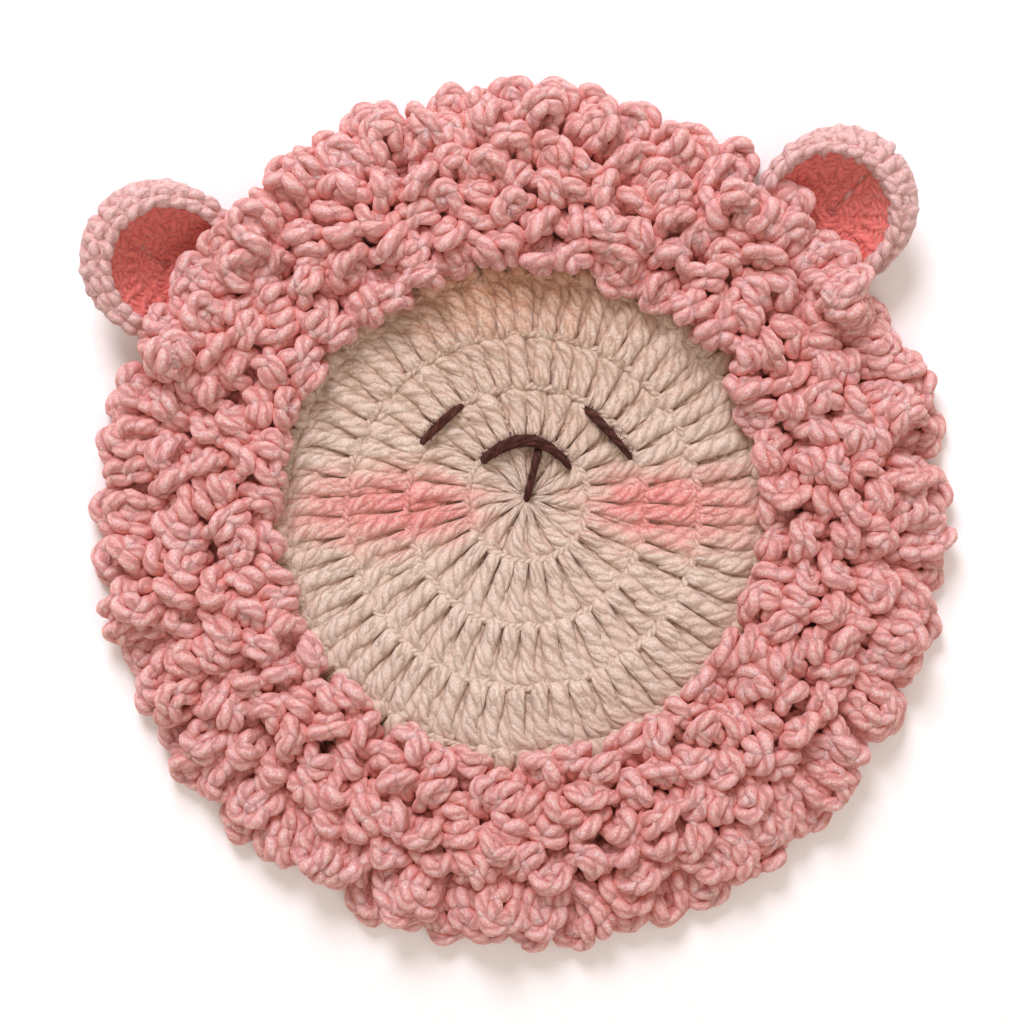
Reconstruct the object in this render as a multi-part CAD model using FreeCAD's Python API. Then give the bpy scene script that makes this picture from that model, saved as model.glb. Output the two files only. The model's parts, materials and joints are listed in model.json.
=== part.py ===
import FreeCAD, Part
import math
import os

# A crocheted round table mat with an animal's face and two cupped ears, in millimetres.
# It lies on the XY plane with its face up: +Z is up, +Y is the top of the face.
# The origin is the centre of the mat on its underside.

# Driving dimensions
FABRIC = 3.6                 # thickness of the crocheted fabric
MANE_INNER = 47.0            # radius where the loop mane begins
MANE_OUTER = 80.0            # radius of the mane's outermost loops
MANE_TOP = 14.0              # height of the mane above the table
EAR_SEAM = 70.5              # distance of each ear's seam line from the mat's centre
EAR_ANGLES = {"left": 145.0, "right": 44.0}

# Cream rounds of double crochet: outer radius, and the centre each round drifted to
RING_RADIUS = 2.6
RING_CENTRE = (1.1, 2.8)
FACE_ROUNDS = [
    (11.6, (1.2, 2.3)),
    (22.7, (1.0, 1.1)),
    (33.4, (0.3, 0.3)),
    (45.2, (0.3, -0.3)),
    (56.0, (0.0, 0.0)),
]

# Pink fabric rounds that carry the outer loops
MANE_BASE_RADII = [64.0, 68.5]

# Rows of chain loops, each a soft ring: outer radius, underside height, top height
LOOP_ROWS = [
    (53.5, FABRIC, 11.5),
    (60.5, FABRIC, 13.5),
    (67.0, FABRIC, MANE_TOP),
    (73.0, FABRIC, 13.0),
    (MANE_OUTER, 0.4, 11.0),
]
OPEN_ROWS = 2                # the outer rows stop each side of an ear
EAR_SECTOR = 13.5            # degrees left free each side of an ear's middle
CROWN = 0.9                  # rise of a row's rounded crown, as a share of its half width

# Embroidered features, lying on the face
THREAD = 0.9                 # radius of the eye thread
NOSE_THREAD = 1.1            # radius of the doubled nose thread
THREAD_SINK = 0.3            # how far a stitch presses into the fabric
EYES = {
    "left": ((-18.8, 12.8), (-11.3, 19.9)),
    "right": ((12.3, 19.3), (20.7, 10.0)),
}
NOSE_ARCH = ((-7.1, 9.7), (0.9, 13.5), (9.1, 8.4))
NOSE_STEM = ((3.4, 12.2), (1.1, 2.7))

# Ears: a shallow bowl, its rim plane leaning towards the face
EAR_REACH = 11.3             # seam line to the bowl's centre
EAR_LEAN = 25.0              # degrees
EAR_HEIGHT = 9.5             # height of the rim plane's centre above the table
EAR_RADIUS = 15.0            # outer radius of the rim
EAR_EDGE = -1.2              # height of the widest part, up the bowl's axis
RIM_CREST = (12.5, 2.0)      # radius and height of the rim's crest
WALL_MIDDLE = (11.3, -4.9)   # a point halfway down the outside
UNDERSIDE = -8.0             # lowest point of the outside, down the bowl's axis
RIM_LOW = -1.6               # where the rim round ends and the wall round begins
CENTRE_ROUND = 7.0           # radius where the wall round meets the centre round
HOLLOW_RADIUS = 14.6         # the bowl's hollow is part of a sphere
HOLLOW_HEIGHT = 10.1         # that sphere's centre, up the bowl's axis
HOLLOW_SHIFT = -3.0          # and towards the seam, so the rim is widest on the far side
SEAM_RADIUS = 1.6            # the sewing yarn rolled along the seam
SEAM_HALF = 13.0             # half the seam's length
SEAM_GAP = 0.5               # bowl to seam line
BIG = 60.0                   # size of the blocks that split and trim an ear

Z = FreeCAD.Vector(0, 0, 1)


def point(x, y, z=0.0):
    return FreeCAD.Vector(x, y, z)


def save(name, shape):
    shape.exportStep("parts/" + name + ".step")


def disc(radius, centre, low, high):
    return Part.makeCylinder(radius, high - low, point(centre[0], centre[1], low))


def flat_ring(outer, outer_centre, inner, inner_centre):
    ring = disc(outer, outer_centre, 0.0, FABRIC)
    return ring.cut(disc(inner, inner_centre, 0.0, FABRIC))


def outline_face(edges):
    return Part.Face(Part.Wire(edges))


def line(a, b):
    return Part.LineSegment(a, b).toShape()


def arc(a, middle, b):
    return Part.Arc(a, middle, b).toShape()


def loop_section(inner, outer, low, high):
    """Section of a loop row: straight flanks under a rounded crown."""
    shoulder = high - CROWN * (outer - inner) / 2
    middle = (inner + outer) / 2
    a = point(inner, 0, low)
    b = point(outer, 0, low)
    c = point(outer, 0, shoulder)
    d = point(inner, 0, shoulder)
    return outline_face([line(a, b), line(b, c), arc(c, point(middle, 0, high), d), line(d, a)])


def free_spans():
    """The two stretches of the mane's edge that no ear takes: start angle and sweep."""
    right = EAR_ANGLES["right"]
    left = EAR_ANGLES["left"]
    top = (right + EAR_SECTOR, left - right - 2 * EAR_SECTOR)
    bottom = (left + EAR_SECTOR, 360 - (left - right) - 2 * EAR_SECTOR)
    return [top, bottom]


def loop_row(inner, outer, low, high, whole):
    section = loop_section(inner, outer, low, high)
    if whole:
        return section.revolve(point(0, 0), Z, 360)
    arcs = []
    for start, sweep in free_spans():
        turned = section.copy()
        turned.rotate(point(0, 0), Z, start)
        arcs.append(turned.revolve(point(0, 0), Z, sweep))
    return Part.makeCompound(arcs)


def straight_stitch(ends, radius):
    """One straight stitch: a thread with rounded ends lying on the face."""
    height = FABRIC + radius - THREAD_SINK
    a = point(ends[0][0], ends[0][1], height)
    b = point(ends[1][0], ends[1][1], height)
    thread = Part.makeCylinder(radius, (b - a).Length, a, b - a)
    for end in (a, b):
        thread = thread.fuse(Part.makeSphere(radius, end))
    return thread.removeSplitter()


def arched_stitch(ends, radius):
    height = FABRIC + radius - THREAD_SINK
    a, middle, b = [point(x, y, height) for x, y in ends]
    path = Part.Wire([arc(a, middle, b)])
    start = path.Edges[0].tangentAt(path.Edges[0].FirstParameter)
    circle = Part.Wire([Part.makeCircle(radius, a, start)])
    thread = path.makePipeShell([circle], True, False)
    for end in (a, b):
        thread = thread.fuse(Part.makeSphere(radius, end))
    return thread.removeSplitter()


def ear_bowl():
    """The whole ear about its own axis: a turned outside with a round hollow."""
    bottom = point(0, 0, UNDERSIDE)
    edge = point(EAR_RADIUS, 0, EAR_EDGE)
    crest = point(RIM_CREST[0], 0, RIM_CREST[1])
    shoulder = point((EAR_RADIUS + RIM_CREST[0]) / 2 + 0.7, 0, (EAR_EDGE + RIM_CREST[1]) / 2 + 0.6)
    top = point(0, 0, RIM_CREST[1])
    outline = [
        arc(bottom, point(WALL_MIDDLE[0], 0, WALL_MIDDLE[1]), edge),
        arc(edge, shoulder, crest),
        line(crest, top),
        line(top, bottom),
    ]
    outside = outline_face(outline).revolve(point(0, 0), Z, 360)
    return outside.cut(Part.makeSphere(HOLLOW_RADIUS, point(HOLLOW_SHIFT, 0, HOLLOW_HEIGHT)))


def place_ear(shape, angle):
    """Moves a shape from the ear's own frame, seam along Y at x = 0, to the mat's edge."""
    shape.translate(point(EAR_SEAM, 0))
    shape.rotate(point(0, 0), Z, angle)
    return shape


def seam_roll():
    height = FABRIC
    start = point(0, -SEAM_HALF, height)
    return Part.makeCylinder(SEAM_RADIUS, 2 * SEAM_HALF, start, point(0, 1, 0))


def ear_rounds():
    """The three crocheted rounds of one ear in its own frame, trimmed to table and seam."""
    bowl = ear_bowl()
    above = Part.makeBox(2 * BIG, 2 * BIG, BIG, point(-BIG, -BIG, RIM_LOW))
    middle = Part.makeCylinder(CENTRE_ROUND, 2 * BIG, point(0, 0, -BIG))
    lower = bowl.cut(above)
    rounds = {
        "ear_rim_round": bowl.common(above),
        "ear_wall_round": lower.cut(middle),
        "ear_centre_round": lower.common(middle),
    }
    keep = Part.makeBox(BIG, 2 * BIG, BIG, point(SEAM_GAP, -BIG, 0))
    for name, shape in rounds.items():
        shape.rotate(point(0, 0), point(0, 1, 0), -EAR_LEAN)
        shape.translate(point(EAR_REACH, 0, EAR_HEIGHT))
        rounds[name] = shape.common(keep).cut(seam_roll())
    return rounds


def build_stitches():
    stitches = {}
    for side, ends in EYES.items():
        stitches[side + "_eye_stitch"] = straight_stitch(ends, THREAD)
    arch = arched_stitch(NOSE_ARCH, NOSE_THREAD)
    stitches["nose_arch_stitch"] = arch
    stitches["nose_stem_stitch"] = straight_stitch(NOSE_STEM, THREAD).cut(arch)
    return stitches


def build_face(stitches):
    """The magic ring and the cream rounds, pressed in under each embroidered stitch."""
    nodes = {"magic_ring": disc(RING_RADIUS, RING_CENTRE, 0.0, FABRIC)}
    inner, inner_centre = RING_RADIUS, RING_CENTRE
    for number, (outer, centre) in enumerate(FACE_ROUNDS, start=1):
        nodes["face_round_%d" % number] = flat_ring(outer, centre, inner, inner_centre)
        inner, inner_centre = outer, centre
    for name in nodes:
        for stitch in stitches.values():
            if nodes[name].distToShape(stitch)[0] < 0.01:
                nodes[name] = nodes[name].cut(stitch)
    return nodes


def build_mane():
    nodes = {}
    inner = FACE_ROUNDS[-1][0]
    for number, outer in enumerate(MANE_BASE_RADII, start=1):
        nodes["mane_base_round_%d" % number] = flat_ring(outer, (0, 0), inner, (0, 0))
        inner = outer
    inner = MANE_INNER
    for number, (outer, low, high) in enumerate(LOOP_ROWS, start=1):
        whole = number <= len(LOOP_ROWS) - OPEN_ROWS
        nodes["mane_loop_row_%d" % number] = loop_row(inner, outer, low, high, whole)
        inner = outer
    return nodes


def build_ears():
    nodes = {}
    for side, angle in EAR_ANGLES.items():
        for name, shape in ear_rounds().items():
            nodes[side + "_" + name] = place_ear(shape, angle)
        nodes[side + "_ear_seam_yarn"] = place_ear(seam_roll(), angle)
    return nodes


def main():
    os.makedirs("parts", exist_ok=True)
    stitches = build_stitches()
    nodes = build_face(stitches)
    nodes.update(stitches)
    nodes.update(build_mane())
    nodes.update(build_ears())
    for name, shape in nodes.items():
        if not shape.isValid() or shape.Volume <= 0:
            raise SystemExit("bad solid: " + name)
        save(name, shape)
        print("%-22s %2d solid(s) %9.1f mm3" % (name, len(shape.Solids), shape.Volume))


main()
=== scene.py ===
import json
import math

import bpy
import numpy as np
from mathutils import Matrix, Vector


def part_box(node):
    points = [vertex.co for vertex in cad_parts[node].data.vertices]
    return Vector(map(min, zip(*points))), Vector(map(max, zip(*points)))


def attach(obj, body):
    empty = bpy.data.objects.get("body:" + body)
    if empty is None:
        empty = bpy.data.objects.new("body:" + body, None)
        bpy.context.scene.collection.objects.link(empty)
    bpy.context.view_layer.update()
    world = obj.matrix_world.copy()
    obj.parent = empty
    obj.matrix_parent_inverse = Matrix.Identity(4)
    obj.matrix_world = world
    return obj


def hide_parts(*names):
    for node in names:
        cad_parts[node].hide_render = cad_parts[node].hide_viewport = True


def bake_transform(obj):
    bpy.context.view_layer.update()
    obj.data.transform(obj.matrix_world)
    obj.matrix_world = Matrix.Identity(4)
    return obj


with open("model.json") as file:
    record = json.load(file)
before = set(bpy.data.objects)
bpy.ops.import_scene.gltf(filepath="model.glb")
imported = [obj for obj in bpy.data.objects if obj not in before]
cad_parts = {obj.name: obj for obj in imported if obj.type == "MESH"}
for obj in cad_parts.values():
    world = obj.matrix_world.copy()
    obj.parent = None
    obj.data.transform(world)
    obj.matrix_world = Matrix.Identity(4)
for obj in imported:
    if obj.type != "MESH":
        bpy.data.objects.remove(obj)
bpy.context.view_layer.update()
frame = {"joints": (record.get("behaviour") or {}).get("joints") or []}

# A crocheted round mat: every stitch is drawn as yarn, worked out in millimetres in the
# CAD frame and turned into metres when its mesh is made.
MM = 0.001
TURN = 2 * math.pi
PLIES = 3  # plies that show as lobes on a strand
LOBE = 0.065  # depth of the lobes, as a share of the radius
TAPER = 0.35  # size of a strand's first and last section
SIDES = 12  # corners of a strand's section
SLANTED = (0.3, 0.2, 1.0)  # a direction that no strand starts along
RNG = np.random.default_rng(7)


# ---- places from the frame

def circle_of(node):
    """Centre and radius, in millimetres, of a round node's outline as seen from above."""
    low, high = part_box(node)
    centre = np.array([(low.x + high.x) / 2, (low.y + high.y) / 2]) / MM
    return centre, (high.x - low.x) / 2 / MM


def ends_of(node, rising):
    """The two ends, in millimetres, of a straight stitch, which rises or falls to the right."""
    low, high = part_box(node)
    inset = (high.z - low.z) / 2
    left, right = low.x + inset, high.x - inset
    bottom, top = low.y + inset, high.y - inset
    ends = [(left, bottom), (right, top)] if rising else [(left, top), (right, bottom)]
    return np.array(ends) / MM


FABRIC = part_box("face_round_4")[1].z / MM
RING_CENTRE, RING_RADIUS = circle_of("magic_ring")
FACE_CIRCLES = [circle_of("face_round_%d" % k) for k in range(1, 6)]
BASE_CIRCLES = [circle_of("mane_base_round_%d" % k) for k in (1, 2)]
MANE_OUTER = circle_of("mane_loop_row_5")[1]
MANE_INNER = 47.0  # where the mane's loops begin


# ---- strands of yarn

CURVE_PARTS = 8  # parts that a curve is cut into between two of its points


def smooth_path(points, step):
    """Catmull-Rom curve through the points, resampled to about one step between samples."""
    p = np.asarray(points, float)
    ends = np.vstack([2 * p[0] - p[1], p, 2 * p[-1] - p[-2]])
    t = np.linspace(0, 1, CURVE_PARTS + 1)[:-1][:, None, None]
    a, b, c, d = ends[:-3], ends[1:-2], ends[2:-1], ends[3:]
    curve = 0.5 * (2 * b + (c - a) * t + (2 * a - 5 * b + 4 * c - d) * t ** 2
                   + (3 * b - a - 3 * c + d) * t ** 3)
    curve = np.vstack([curve.transpose(1, 0, 2).reshape(-1, p.shape[1]), p[-1:]])
    run = run_of(curve[:, :3])
    count = max(4, int(round(run[-1] / step)) + 1)
    even = np.linspace(0, run[-1], count)
    return np.column_stack([np.interp(even, run, curve[:, k]) for k in range(p.shape[1])])


def run_of(path):
    """Distance along a path at each of its points."""
    return np.concatenate([[0], np.cumsum(np.linalg.norm(np.diff(path, axis=0), axis=1))])


def carried_frames(path):
    """Two directions across the path at every sample, carried along it without spinning."""
    tangent = np.gradient(path, axis=0)
    tangent /= np.linalg.norm(tangent, axis=1)[:, None] + 1e-12
    across = np.cross(tangent[0], SLANTED)
    across /= np.linalg.norm(across)
    side = np.empty_like(path)
    for k, direction in enumerate(tangent):
        across = across - direction * across.dot(direction)
        across /= np.linalg.norm(across)
        side[k] = across
    return side, np.cross(tangent, side)


class YarnMesh:
    """Collects strands of yarn and turns them into one mesh with round, twisted sections."""

    def __init__(self, twist=0.22):
        self.twist = twist           # full turns of the plies for each diameter of length
        self.verts, self.faces, self.uvs, self.shades = [], [], [], []
        self.count = 0

    def strand(self, points, radius, step=0.8, shade=None, squash=1.0):
        """Adds a strand. points are (x, y, z) or (x, y, z, size), size scaling the radius;
        squash is its height as a share of its width."""
        path = smooth_path(points, step)
        size = path[:, 3] if path.shape[1] > 3 else np.ones(len(path))
        path = path[:, :3]
        side, up = carried_frames(path)
        count = len(path)
        shade = RNG.uniform(0, 1) if shade is None else shade
        taper = np.ones(count)
        taper[0] = taper[-1] = TAPER
        turn = TURN * np.arange(SIDES) / SIDES
        spin = TURN * self.twist * run_of(path) / (2 * radius) + RNG.uniform(0, TURN)
        lobes = 1 + LOBE * np.cos(PLIES * (turn[None, :] + spin[:, None]))
        reach = ((radius * size * taper)[:, None] * lobes)[:, :, None]
        spoke = (np.cos(turn)[None, :, None] * side[:, None, :]
                 + np.sin(turn)[None, :, None] * up[:, None, :])
        ring = path[:, None, :] + reach * spoke * (1, 1, squash)
        base = self.count
        self.verts.append(ring.reshape(-1, 3))
        self.count += count * SIDES
        k = np.arange(count - 1)[:, None] * SIDES
        i = np.arange(SIDES)[None, :]
        j = (i + 1) % SIDES
        quads = np.stack([k + i, k + j, k + SIDES + j, k + SIDES + i], axis=-1)
        self.faces.append((quads + base).reshape(-1, 4))
        u0 = (i + 0 * k) / SIDES
        u1 = u0 + 1 / SIDES
        v0 = np.broadcast_to(spin[:-1, None], u0.shape) / TURN
        v1 = np.broadcast_to(spin[1:, None], u0.shape) / TURN
        corner = np.stack([np.stack([u0, v0], -1), np.stack([u1, v0], -1),
                           np.stack([u1, v1], -1), np.stack([u0, v1], -1)], axis=2)
        self.uvs.append(corner.reshape(-1, 2))
        self.shades.append(np.full(count * SIDES, shade))
        self.cap(base, path[0], shade, False)
        self.cap(base + (count - 1) * SIDES, path[-1], shade, True)

    def cap(self, first, centre, shade, last):
        """Closes a strand's end with a fan of triangles, kept as quads with a doubled corner."""
        self.verts.append(np.array([centre]))
        self.shades.append(np.array([shade]))
        middle = np.full(SIDES, self.count)
        self.count += 1
        i = first + np.arange(SIDES)
        j = first + (np.arange(SIDES) + 1) % SIDES
        fan = np.column_stack([i, j, middle, middle] if last else [j, i, middle, middle])
        self.faces.append(fan)
        self.uvs.append(np.zeros((SIDES * 4, 2)))

    def build(self, name, finish, node, body="root"):
        """Makes the piece, which stands for a CAD node and rides a body; finish is material and slot, and
        only its material is used.
        """
        faces = np.vstack(self.faces)
        uvs = np.vstack(self.uvs).reshape(-1, 4, 2)
        is_fan = faces[:, 2] == faces[:, 3]
        sizes = np.where(is_fan, 3, 4)
        keep = np.ones(faces.shape, bool)
        keep[is_fan, 3] = False
        mesh = bpy.data.meshes.new(name)
        mesh.vertices.add(self.count)
        mesh.vertices.foreach_set("co", (np.vstack(self.verts) * MM).astype(np.float32).ravel())
        mesh.loops.add(int(sizes.sum()))
        mesh.loops.foreach_set("vertex_index", faces[keep].astype(np.int32))
        mesh.polygons.add(len(faces))
        starts = np.concatenate([[0], np.cumsum(sizes)[:-1]])
        mesh.polygons.foreach_set("loop_start", starts.astype(np.int32))
        mesh.update(calc_edges=True)
        layer = mesh.uv_layers.new(name="yarn")
        layer.data.foreach_set("uv", uvs[keep].astype(np.float32).ravel())
        tint = mesh.attributes.new("strand", "FLOAT", "POINT")
        tint.data.foreach_set("value", np.concatenate(self.shades).astype(np.float32))
        mesh.polygons.foreach_set("use_smooth", np.ones(len(faces), bool))
        mesh.validate()
        mesh.materials.append(finish[0])
        piece = bpy.data.objects.new(name, mesh)
        bpy.context.scene.collection.objects.link(piece)
        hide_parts(node)
        if body:
            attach(piece, body)
        return piece


# ---- materials

SHEEN_ROUGHNESS = 0.45
SHINE = 0.15  # specular level of dull cotton and of paper


class Nodes:
    """Short calls for building one material's node tree."""

    def __init__(self, name, roughness=0.9, sheen=0.0):
        self.material = bpy.data.materials.new(name)
        self.material.use_nodes = True
        self.tree = self.material.node_tree
        self.shader = self.tree.nodes["Principled BSDF"]
        self.set({"Roughness": roughness, "Sheen Weight": sheen, "Sheen Roughness": SHEEN_ROUGHNESS,
                  "Specular IOR Level": SHINE})

    def set(self, values):
        """Sets inputs of the shader by their names."""
        for name, value in values.items():
            self.shader.inputs[name].default_value = value

    def new(self, kind):
        return self.tree.nodes.new("ShaderNode" + kind)

    def link(self, value, socket):
        if isinstance(value, bpy.types.NodeSocket):
            self.tree.links.new(value, socket)
        else:
            socket.default_value = value

    def math(self, operation, *values):
        node = self.new("Math")
        node.operation = operation
        for value, socket in zip(values, node.inputs):
            self.link(value, socket)
        return node.outputs[0]

    def smooth(self, value, low, high, out_low=0.0, out_high=1.0):
        """Runs smoothly from out_low to out_high while value goes from low to high."""
        node = self.new("MapRange")
        node.interpolation_type = "SMOOTHSTEP"
        for given, name in ((value, "Value"), (low, "From Min"), (high, "From Max"),
                            (out_low, "To Min"), (out_high, "To Max")):
            self.link(given, node.inputs[name])
        return node.outputs["Result"]

    def mix(self, factor, a, b, blend="MIX"):
        node = self.new("Mix")
        node.data_type = "RGBA"
        node.blend_type = blend
        colours = [socket for socket in node.inputs if socket.type == "RGBA"]
        self.link(factor, node.inputs[0])
        self.link(a, colours[0])
        self.link(b, colours[1])
        return [socket for socket in node.outputs if socket.type == "RGBA"][0]

    def noise(self, vector, scale, detail=2.0, roughness=0.5):
        node = self.new("TexNoise")
        self.link(vector, node.inputs["Vector"])
        node.inputs["Scale"].default_value = scale
        node.inputs["Detail"].default_value = detail
        node.inputs["Roughness"].default_value = roughness
        return node.outputs["Fac"]

    def openness(self, reach):
        """1 where the surface is open, falling to 0 deep in the gaps between strands."""
        node = self.new("AmbientOcclusion")
        node.samples = 4
        node.inputs["Distance"].default_value = reach * MM
        return node.outputs["AO"]

    def place(self):
        return self.new("TexCoord").outputs["Object"]

    def split(self, vector):
        node = self.new("SeparateXYZ")
        self.link(vector, node.inputs[0])
        return node.outputs

    def join(self, x, y, z=0.0):
        node = self.new("CombineXYZ")
        for value, socket in zip((x, y, z), node.inputs):
            self.link(value, socket)
        return node.outputs[0]

    def attribute(self, name):
        node = self.new("Attribute")
        node.attribute_name = name
        return node.outputs["Fac"]

    def uv(self):
        node = self.new("UVMap")
        node.uv_map = "yarn"
        return self.split(node.outputs["UV"])

    def bump(self, height, strength, distance):
        node = self.new("Bump")
        self.link(height, node.inputs["Height"])
        node.inputs["Strength"].default_value = strength
        node.inputs["Distance"].default_value = distance * MM
        self.tree.links.new(node.outputs["Normal"], self.shader.inputs["Normal"])


def rgba(colour):
    return (*colour, 1.0)


def twist_wave(nodes, around, along, drift):
    """A wave, 0 to 1, whose crests wind round the strand with its plies."""
    turns = nodes.math("ADD", nodes.math("MULTIPLY", around, PLIES), nodes.math("MULTIPLY", along, PLIES))
    wave = nodes.math("SINE", nodes.math("MULTIPLY", nodes.math("ADD", turns, drift), TURN))
    return nodes.math("MULTIPLY_ADD", wave, 0.5, 0.5)


# Scales of the yarn's noises, in steps to the metre
DRIFT_SCALE = 500.0  # how the twist of the plies wanders
UNEVEN_SCALE = 160.0  # where one thread's streaks change to the next one's
FIBRE_SCALE = 3600.0
FUZZ_SCALE = 1900.0
CLOUD_SCALE = 70.0  # uneven dye

DRIFT = 0.9  # how far the twist wanders, in turns
GAP_REACH = 3.0  # how near a neighbour has to be to close a gap in, where the gap colour is painted as shade
LIGHT_PATH = (1.0, 0.55, 0.45)  # how far red, green and blue light travel inside the yarn
LIGHT_REACH = 4.0  # and the furthest of them in millimetres, for a fully soft yarn
BUMP = (0.9, 0.26)  # strength, and height in millimetres


def yarn_material(name, light, base, warm, gap, tints=(), sheen=0.35, haze=(1.0, 1.0, 1.0), soft=0.12,
                  slot=None):
    """Spun cotton: plies made of fine fibres, pale fuzz with a painted highlight in the light colour on
    what stands out, uneven dye, painted shade and bounced light in the gap colour deep between
    strands, and painted shade in the grooves between plies. tints are (mask, colour) pairs over the
    yarn's own colour, and slot is the CAD's name for the finish, when it isn't the material's own."""
    nodes = Nodes(name, sheen=sheen)
    nodes.set({"Sheen Tint": rgba(haze)})
    place = nodes.place()
    around, along, _ = nodes.uv()
    drift = nodes.math("MULTIPLY", nodes.noise(place, DRIFT_SCALE), DRIFT)
    ply = twist_wave(nodes, around, along, drift)
    streak_place = nodes.join(nodes.math("MULTIPLY_ADD", along, 13.0, nodes.math("MULTIPLY", around, 8.0)),
                              nodes.math("MULTIPLY", along, 1.8), nodes.noise(place, UNEVEN_SCALE))
    streak = nodes.noise(streak_place, 3.0, 3.0, 0.6)
    fibre = nodes.noise(place, FIBRE_SCALE, 3.0, 0.7)
    fuzz = nodes.noise(place, FUZZ_SCALE, 4.0, 0.7)
    cloudy = nodes.smooth(nodes.noise(place, CLOUD_SCALE, 3.0), 0.35, 0.7, 0.0, 0.4)
    strand = nodes.smooth(nodes.attribute("strand"), 0.0, 1.0, 0.0, 0.4)
    colour = nodes.mix(nodes.math("ADD", cloudy, strand), rgba(base), rgba(warm))
    for mask, tint in tints:
        colour = nodes.mix(mask(nodes, place), colour, rgba(tint))
    # Painted shade and bounced light: deep in the gaps between strands the colour goes over to the gap
    # colour.
    open_air = nodes.openness(GAP_REACH)
    colour = nodes.mix(nodes.smooth(open_air, 0.65, 0.10, 0.0, 0.95), colour, rgba(gap))
    # Painted highlight: the light colour screened over the ply crests, fuzz and streaks where the surface is
    # open.
    crest = nodes.math("MULTIPLY", nodes.smooth(fuzz, 0.34, 0.70), nodes.smooth(ply, 0.05, 0.9, 0.2, 1.0))
    crest = nodes.math("MULTIPLY_ADD", nodes.smooth(streak, 0.50, 0.70), 0.35, crest)
    crest = nodes.math("MULTIPLY", crest, nodes.smooth(open_air, 0.50, 0.95))
    colour = nodes.mix(crest, colour, rgba(light), "SCREEN")
    # Painted shade in the grooves between the plies; streaks and fibres darken at random.
    groove = nodes.math("MULTIPLY", nodes.smooth(ply, 0.0, 0.35, 0.76, 1.0),
                        nodes.smooth(streak, 0.28, 0.48, 0.84, 1.0))
    shade = nodes.math("MULTIPLY", groove, nodes.smooth(fibre, 0.3, 0.7, 0.80, 1.06))
    colour = nodes.mix(1.0, colour, nodes.join(shade, shade, shade), "MULTIPLY")
    nodes.link(colour, nodes.shader.inputs["Base Color"])
    if soft:
        nodes.set({"Subsurface Weight": soft, "Subsurface Radius": LIGHT_PATH,
                   "Subsurface Scale": LIGHT_REACH * soft * MM})
    height = nodes.math("ADD", nodes.math("MULTIPLY", ply, 0.8), nodes.math("MULTIPLY", streak, 0.7))
    height = nodes.math("ADD", height, nodes.math("MULTIPLY", fibre, 0.4))
    height = nodes.math("ADD", height, nodes.math("MULTIPLY", fuzz, 0.9))
    nodes.bump(height, *BUMP)
    return nodes.material, slot or name.replace(" ", "_")


BLEED_SCALE = 420.0  # noise that frays the edge of a tint, in steps to the metre
BLEED_STRETCH = 0.35  # how much coarser it is from side to side
BLEED = 0.75  # and how far it frays, as a share of the tint's reach


def soft_patch(centre, reach, strength):
    """Mask of a tint on the face: a soft ellipse that bleeds along the stitches."""
    def mask(nodes, place):
        x, y, _ = nodes.split(place)
        streak = nodes.noise(nodes.join(nodes.math("MULTIPLY", x, BLEED_STRETCH), y), BLEED_SCALE)
        blur = nodes.math("MULTIPLY", nodes.math("SUBTRACT", streak, 0.5), BLEED)
        dx = nodes.math("DIVIDE", nodes.math("SUBTRACT", x, centre[0] * MM), reach[0] * MM)
        dy = nodes.math("DIVIDE", nodes.math("SUBTRACT", y, centre[1] * MM), reach[1] * MM)
        far = nodes.math("SQRT", nodes.math("ADD", nodes.math("MULTIPLY", dx, dx),
                                            nodes.math("MULTIPLY", dy, dy)))
        return nodes.smooth(nodes.math("ADD", far, blur), 1.0, 0.15, 0.0, strength)
    return mask


BLUSH = (0.80, 0.20, 0.19)
PAINTED_MANE_SHADOW = (0.70, 0.265, 0.115)  # painted shadow of the mane: a warm tan at the top of the face
PAINTED_UPPER_SHADE = (0.52, 0.29, 0.17)  # and a duller painted shade that fades over its upper half

# Each tint's centre, reach across and up, and strength: two of blush for each cheek, and two of painted
# shade at the top
TINTS = [
    (soft_patch((-26.0, 0.8), (28.0, 11.8), 0.76), BLUSH),
    (soft_patch((-18.0, 1.4), (13.0, 7.5), 0.60), BLUSH),
    (soft_patch((30.0, 0.8), (27.0, 11.8), 0.74), BLUSH),
    (soft_patch((23.5, 1.8), (12.0, 7.5), 0.58), BLUSH),
    (soft_patch((-6.0, 51.0), (44.0, 24.0), 0.90), PAINTED_MANE_SHADOW),
    (soft_patch((0.0, 46.0), (78.0, 46.0), 0.42), PAINTED_UPPER_SHADE),
]
# Each yarn: its painted highlight colour, its own colour, a warmer tone of it, and the colour painted deep
# in its gaps as shade and bounced light.
cream_yarn = yarn_material("cream yarn", (0.40, 0.42, 0.38), (0.72, 0.555, 0.445), (0.68, 0.49, 0.375),
                           (0.64, 0.42, 0.30), tints=TINTS)
pink_yarn = yarn_material("pink yarn", (0.34, 0.50, 0.49), (0.73, 0.345, 0.33), (0.70, 0.28, 0.25),
                          (1.0, 0.40, 0.35), sheen=0.9, haze=(1.0, 0.46, 0.40), soft=0.35)
# A paler copy of the pink yarn, kept on the pink yarn's slot: painted light on the ears' rims.
pink_yarn_in_painted_light = yarn_material("pale pink yarn", (0.30, 0.34, 0.34), (0.72, 0.43, 0.41),
                               (0.70, 0.36, 0.33), (0.92, 0.40, 0.33), slot="pink_yarn")
# A deeper copy of the pink yarn: painted shade inside the hollows of the ears.
pink_yarn_in_painted_shade = yarn_material("deep pink yarn", (0.12, 0.08, 0.08), (0.86, 0.215, 0.18),
                               (0.84, 0.18, 0.15), (0.92, 0.16, 0.12))
brown_thread = yarn_material("brown thread", (0.07, 0.035, 0.028), (0.088, 0.024, 0.016),
                             (0.050, 0.015, 0.011), (0.04, 0.012, 0.009), sheen=0.05, soft=0.0)


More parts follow.
